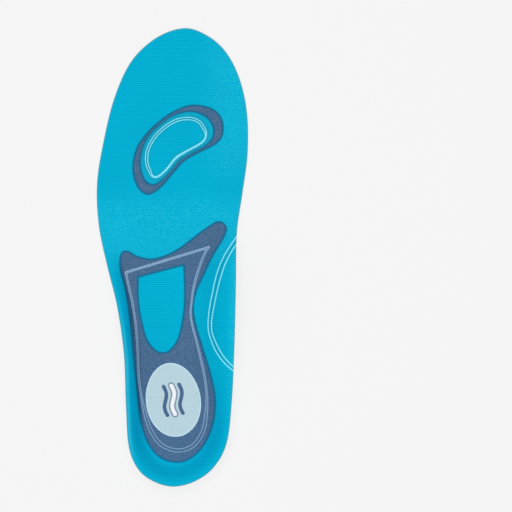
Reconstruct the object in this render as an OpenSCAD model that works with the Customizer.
// Cushioned insole for a left shoe: a knitted top cover and a comfort foam
// laminated on a moulded foam base, which holds gel pads, a stabiliser and an
// arch post in pockets of its underside.
// +Y points to the toes, +X to the inner (arch) side of the foot, +Z up.
// The origin is at the centre of the footprint, on the surface it lies on.

/* [Footbed] */
// Thickness at the middle of the heel
heel_t = 8; // [7:0.5:10]
// Thickness at the ball of the foot
ball_t = 5; // [4.5:0.5:6.5]
// Thickness at the tip of the toes
toe_t = 4.2; // [3.8:0.2:5]
// Lift of the tip of the toes
toe_spring = 2; // [0:0.5:4]

/* [Cup and arch] */
// Height of the rim behind the heel
heel_rim = 18; // [14:1:22]
// Height of the rim on the outer side of the heel
outer_rim = 16; // [12:1:20]
// Height of the rim at the top of the arch
arch_rim = 19.5; // [15:0.5:24]
// Width of the curved wall behind the heel, from rim to seat
back_wall_w = 14; // [11:0.5:15]
// Width of the curved wall on the outer side
outer_wall_w = 10.5; // [9:0.5:13]
// Width of the slope up to the arch rim
arch_wall_w = 27; // [20:1:28]
// Thickness of the trimmed edge at the rim
rim_t = 2.6; // [2.2:0.1:3]
// Thickness of the trimmed edge round the forefoot
toe_rim_t = 3.6; // [3.2:0.1:4]

/* [Layers] */
// Thickness of the knitted top cover
cover_t = 0.7; // [0.5:0.1:1]
// Largest thickness of the comfort foam
comfort_t = 2; // [1:0.5:2.5]
// Thickness of the heel emblem film
film_t = 0.15; // [0.1:0.05:0.3]

/* [Inserts] */
// Height of the heel gel pad
heel_pad_h = 4; // [2:0.5:4]
// Height of the forefoot gel pad
ball_pad_h = 2; // [1:0.25:2]
// Thickness of the stabiliser
plate_t = 1.4; // [1:0.1:2]
// Thickness of the arch post
post_t = 3; // [2:0.5:4]
// Gel left above the cells of the gel pads
gel_skin = 1; // [0.8:0.1:1.2]

/* [Hidden] */

// Outline of the insole, seen from above. The first point is the tip of the
// toes, the fifteenth the back of the heel, and the arch side comes first.
OUTLINE = [
    [7, 135], [20.5, 130.7], [31.5, 121], [39.5, 105.5], [44, 85], [44.3, 60.5], [41.2, 37],
    [38, 14], [37.5, -16], [36.7, -50], [35.2, -83], [32.3, -108.5], [25, -123], [14, -131.6],
    [1, -135], [-11, -132], [-20.3, -124.5], [-25.7, -111], [-27.3, -87], [-28.5, -57],
    [-32.5, -29], [-38.4, -5], [-43.3, 18.5], [-44.4, 43], [-40.7, 67.5], [-34.3, 93.5],
    [-24.3, 115.3], [-9.5, 129.3]];
// Outline of the cushioned area under the ball of the foot
BALL_PAD = [
    [11, 85.8], [19, 83.2], [23.7, 77.5], [23.8, 71], [19.5, 66], [11, 61.5], [4, 57.2],
    [-1.2, 51], [-6.8, 45], [-12, 42.8], [-16.7, 46.5], [-19, 56], [-16, 68], [-8.5, 76.8],
    [1.5, 83.8]];
// Outline of the forked area from the heel to both sides of the midfoot
FORK = [
    [27, 21.2], [32, 17.5], [30, 11], [24, 1], [18.3, -11], [14, -21], [12.6, -30],
    [14.2, -40], [18.5, -54.5], [23, -69.5], [25.6, -84], [24.2, -98], [19, -110.5],
    [11.5, -118.2], [3, -121], [-7, -118.3], [-14.5, -109.7], [-18.7, -97], [-20.8, -80],
    [-23, -59], [-25, -38.5], [-27.7, -20], [-31, -6.5], [-30.3, 2], [-26.5, 3.7],
    [-21, 0.8], [-13, -0.9], [-5, 0.8], [5, 6], [17, 15.2]];
// The opening in the fork: its two front corners, then the round rear end
WINDOW_FRONT = [[-20, -11.8], [6.5, -4.8]];
WINDOW_REAR = [[7, -18], [6.5, -32], [3.5, -47], [-1.5, -54.5], [-5.5, -56],
               [-10, -54.5], [-15, -48], [-18.5, -35], [-20, -23]];
// The arched edge of the arch post, from front to rear; the rest is the rim
POST_EDGE = [[50, 21], [38, 12.5], [29.5, -2], [24, -17], [21, -33], [22, -47],
             [28.5, -60.5], [37, -69], [50, -76]];
// The heel oval, and how much broader its rear end is
HEEL_CENTRE = [0.5, -84];
HEEL_RADII = [16.2, 21.9];
HEEL_TILT = 8;
heel_egg = 0.04;
// How far the heel gel pad reaches past the oval
pad_margin = 1;

// Blind cells of the heel gel pad, and how far their pattern stays inside the oval
cell_r = 1.5;
cell_pitch = 4.2;
cell_inset = 2.5;

// The toe spring starts here and reaches its full height this much further on
spring_start = 95;
spring_run = 40;
// How much lower than the seat the flat rim of the forefoot is
rim_drop = 0.5;
// Width of the level land at the top of the rim
rim_land = 1.2;
// Width of the rounding under the rim: at the heel, at the forefoot, and how
// much narrower than the slope above it at the arch
heel_round_w = 9;
fore_round_w = 3;
arch_round_less = 3;
// Largest share of the foam that the comfort layer and the inserts take up
comfort_share = 0.3;
insert_share = 0.55;

span_steps = 4;
count = len(OUTLINE) * span_steps;
half = count / 2;
// Distances from the edge of the rings of points that the layers share
RINGS = [0, rim_land, 3, 5, 7.5, 10.5, 14];
web_steps = 5;
// How far a cutting shape runs past what it cuts
past = 1;
tall = 60;

// ---- curves ----

// One span of a smooth curve from p1 to p2
function span(p0, p1, p2, p3, t) =
    0.5 * (2 * p1 + (p2 - p0) * t + (2 * p0 - 5 * p1 + 4 * p2 - p3) * t * t
    + (3 * p1 - p0 - 3 * p2 + p3) * t * t * t);

// A smooth closed curve through the points p, with n steps a span
function loop(p, n) =
    [for (i = [0 : len(p) - 1]) for (k = [0 : n - 1])
        span(p[(i + len(p) - 1) % len(p)], p[i], p[(i + 1) % len(p)],
             p[(i + 2) % len(p)], k / n)];

// A smooth open curve through the points p, without its first and last point
function path(p, n) =
    [for (i = [1 : len(p) - 3]) for (k = [0 : n])
        if (k < n || i == len(p) - 3) span(p[i - 1], p[i], p[i + 1], p[i + 2], k / n)];

// A smooth step from 0 to 1 as v goes from a to b
function ease(v, a, b) =
    let (t = min(1, max(0, (v - a) / (b - a)))) t * t * (3 - 2 * t);

function mix(a, b, t) = a + (b - a) * t;

// ---- the insole's edge ----

raw_edge = loop(OUTLINE, span_steps);
raw_x = [for (p = raw_edge) p[0]];
raw_y = [for (p = raw_edge) p[1]];
middle = [min(raw_x) + max(raw_x), min(raw_y) + max(raw_y)] / 2;
EDGE = [for (p = raw_edge) p - middle];

// Inward normal of the edge at point i
function inward(i) =
    let (t = EDGE[(i + 1) % count] - EDGE[(i + count - 1) % count])
        [t[1], -t[0]] / norm(t);

function on_arch_side(i) = i <= half;

// ---- heights ----

function lift(y) = toe_spring * pow(max(0, (y - spring_start) / spring_run), 2);
function seat(y) =
    mix(mix(heel_t, ball_t, ease(y, -75, 25)), toe_t, ease(y, 70, 130));
// How much of the arch flange there is, from 0 to 1
function arch(y) = ease(y, 30, -15) * ease(y, -100, -55);
function edge_thickness(y) = mix(rim_t, toe_rim_t, ease(y, -5, 35));
function flat_rim(y) = seat(y) - rim_drop;

// Height of the rim at edge point i, without the lift
function rim(i) =
    let (y = EDGE[i][1],
         back = mix(heel_rim, outer_rim, ease(y, -132, -95)))
    on_arch_side(i)
        ? mix(flat_rim(y), mix(back, arch_rim, arch(y)), ease(y, 30, -12))
        : mix(flat_rim(y), back, ease(y, 22, -52));

function wall_width(i) =
    let (y = EDGE[i][1])
    on_arch_side(i)
        ? mix(back_wall_w, arch_wall_w, arch(y))
        : mix(back_wall_w, outer_wall_w, ease(y, -128, -100));

function under_width(i) =
    let (y = EDGE[i][1], w = mix(heel_round_w, fore_round_w, ease(y, -5, 35)))
    on_arch_side(i) ? mix(w, arch_wall_w - arch_round_less, arch(y)) : w;

// Share of the wall's height that is left at distance d from the edge
function wall_share(i, d) = 1 - ease(d, rim_land, wall_width(i));
function under_share(i, d) = pow(max(0, 1 - d / under_width(i)), 2);

function top_rise(i, d) = (rim(i) - seat(EDGE[i][1])) * wall_share(i, d);
function under_rise(i, d) =
    (rim(i) - edge_thickness(EDGE[i][1])) * under_share(i, d);

// ---- the mesh that every layer shares ----

// Points in plan: rings inside the edge, then a web across the last ring.
// Each is [x, y, height of the top, height of the underside].
last_ring = RINGS[len(RINGS) - 1];
ring_points = [for (d = RINGS) for (i = [0 : count - 1])
    let (p = EDGE[i] + inward(i) * d)
        [p[0], p[1], seat(p[1]) + lift(p[1]) + top_rise(i, d),
         lift(p[1]) + under_rise(i, d)]];
web_points = [for (i = [1 : half - 1]) for (k = [1 : web_steps - 1])
    let (a = EDGE[i] + inward(i) * last_ring,
         b = EDGE[count - i] + inward(count - i) * last_ring,
         w = norm(b - a),
         p = mix(a, b, k / web_steps),
         da = last_ring + w * k / web_steps,
         db = last_ring + w * (1 - k / web_steps))
        [p[0], p[1],
         seat(p[1]) + lift(p[1]) + top_rise(i, da) + top_rise(count - i, db),
         lift(p[1]) + under_rise(i, da) + under_rise(count - i, db)]];
PLAN = concat(ring_points, web_points);

web_start = len(RINGS) * count;
// Index of column k (0 to web_steps) in row i (0 to half) of the web
function web_index(i, k) =
    i == 0 || k == 0 ? web_start - count + i
    : i == half ? web_start - count + half
    : k == web_steps ? web_start - i
    : web_start + (i - 1) * (web_steps - 1) + k - 1;

ring_faces = [for (r = [0 : len(RINGS) - 2]) for (i = [0 : count - 1])
    let (a = r * count + i, b = r * count + (i + 1) % count)
    each [[a, b, b + count], [a, b + count, a + count]]];
web_faces = [for (i = [0 : half - 1]) for (k = [0 : web_steps - 1])
    let (a = web_index(i, k), b = web_index(i + 1, k),
         c = web_index(i + 1, k + 1), d = web_index(i, k + 1))
    each [if (a != b && b != c) [a, b, c], if (a != c && c != d && a != d) [a, c, d]]];
PLAN_FACES = concat(ring_faces, web_faces);

// Heights of the layers at a plan point p, from the bottom up
underside = function(p) p[3];
cover_bottom = function(p) p[2] - cover_t;
base_top = function(p)
    let (body = cover_bottom(p) - p[3]) cover_bottom(p) - min(comfort_t, comfort_share * body);
top = function(p) p[2];
film_top = function(p) p[2] + film_t;
// Tops of the inserts that follow the underside
plate_top = function(p) p[3] + min(plate_t, insert_share * (base_top(p) - p[3]));
post_top = function(p) p[3] + min(post_t, insert_share * (base_top(p) - p[3]));
clear_below = function(p) p[3] - past;

// The solid between two of those heights
module slab(low, high) {
    n = len(PLAN);
    polyhedron(
        points = concat(
            [for (p = PLAN) [p[0], p[1], high(p)]],
            [for (p = PLAN) [p[0], p[1], low(p)]]),
        faces = concat(
            PLAN_FACES,
            [for (f = PLAN_FACES) [f[2] + n, f[1] + n, f[0] + n]],
            [for (i = [0 : count - 1]) let (j = (i + 1) % count)
                each [[i, i + n, j + n], [i, j + n, j]]]),
        convexity = 6);
}

// What a plan shape cuts out of the slab between two heights
module band(low, high) {
    intersection() {
        translate([0, 0, -tall]) linear_extrude(2 * tall) children();
        slab(low, high);
    }
}

// A cut of height h into the underside, in the form of a plan shape
module pocket(h) {
    translate([0, 0, -past]) linear_extrude(h + past) children();
}

// ---- plan shapes ----

// An egg, a little broader towards the back
module heel_oval(margin) {
    radii = HEEL_RADII + [margin, margin];
    translate(HEEL_CENTRE) rotate(HEEL_TILT)
        polygon([for (a = [0 : 5 : 355])
            [radii[0] * cos(a) * (1 - heel_egg * sin(a)), radii[1] * sin(a)]]);
}

module ball_shape() {
    polygon(loop(BALL_PAD, 5));
}

module window_shape() {
    rear = path(concat([WINDOW_FRONT[1]], WINDOW_REAR, [WINDOW_FRONT[0]]), 4);
    polygon(concat(WINDOW_FRONT, rear));
}

module fork_shape() {
    difference() {
        polygon(loop(FORK, 4));
        window_shape();
        heel_oval(pad_margin);
    }
}

module post_shape() {
    polygon(path(POST_EDGE, 4));
}

// Round cells of height h in staggered rows, that fill a rectangle round centre
module cells(centre, cols, rows, h) {
    for (r = [-rows : rows]) for (c = [-cols : cols])
        translate([centre[0] + (c + (abs(r) % 2) / 2) * cell_pitch,
                   centre[1] + r * cell_pitch * sin(60), -past])
            cylinder(r = cell_r, h = h + past, $fn = 24);
}

// ---- sub-parts ----

module top_cover() {
    color("deepskyblue") slab(cover_bottom, top);
}

module heel_emblem() {
    color("lightblue") band(top, film_top) heel_oval(0);
}

module comfort_foam() {
    color("white") slab(base_top, cover_bottom);
}

module foam_base() {
    color("lightsteelblue") difference() {
        slab(underside, base_top);
        pocket(heel_pad_h) heel_oval(pad_margin);
        pocket(ball_pad_h) ball_shape();
        band(clear_below, plate_top) fork_shape();
        band(clear_below, post_top) post_shape();
    }
}

module arch_post() {
    color("slategray") band(underside, post_top) post_shape();
}

module stabiliser_plate() {
    color("steelblue") band(underside, plate_top) fork_shape();
}

module heel_gel_pad() {
    color("aquamarine") difference() {
        linear_extrude(heel_pad_h) heel_oval(pad_margin);
        intersection() {
            pocket(heel_pad_h - gel_skin) heel_oval(-cell_inset);
            cells(HEEL_CENTRE, 4, 6, heel_pad_h - gel_skin);
        }
    }
}

module forefoot_gel_pad() {
    color("aquamarine") linear_extrude(ball_pad_h) ball_shape();
}

top_cover();
heel_emblem();
comfort_foam();
foam_base();
arch_post();
stabiliser_plate();
heel_gel_pad();
forefoot_gel_pad();
